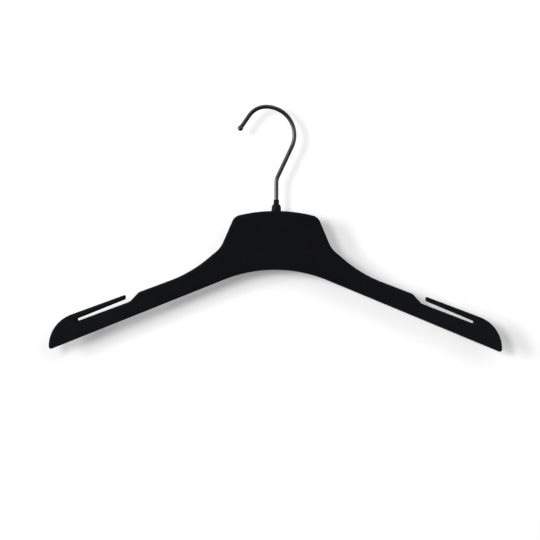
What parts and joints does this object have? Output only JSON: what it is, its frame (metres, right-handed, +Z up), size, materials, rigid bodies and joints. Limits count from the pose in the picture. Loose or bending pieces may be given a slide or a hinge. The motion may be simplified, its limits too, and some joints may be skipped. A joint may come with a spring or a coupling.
{
  "type": "clothes hanger",
  "caption": "Contoured shop hanger for shirts and dresses: a flocked two-shell body with strap slots and a steel swivel hook with a ball tip.",
  "frame": {"origin": "the inside top of the hook, where the rail touches it", "axes": "+Z up, +X along the hanger's width towards the wearer's left shoulder as seen from the front, front faces -Y"},
  "size_m": [0.43, 0.0219, 0.2335],
  "materials": {
    "black_flock": "black flocked, velvety and matte",
    "black_plastic": "black satin plastic",
    "natural_nylon": "natural nylon",
    "black_nickel": "black nickel plating, smooth and shiny",
    "zinc_steel": "zinc-plated steel"
  },
  "bodies": {
    "hook": {"hook_wire": "black_nickel", "hook_tip_ball": "black_nickel", "hook_collar": "black_plastic", "thrust_washer": "zinc_steel", "push_nut": "zinc_steel"},
    "hanger_body": {"front_shell": "black_flock", "back_shell": "black_flock", "neck_ferrule": "black_plastic", "swivel_bush": "natural_nylon"}
  },
  "joints": [
    {"name": "hook_swivel", "type": "hinge", "parent": "hook", "child": "hanger_body", "pos_m": [0.0102, 0, -0.0974], "axis": [0, 0, 1], "continuous": true}
  ]
}
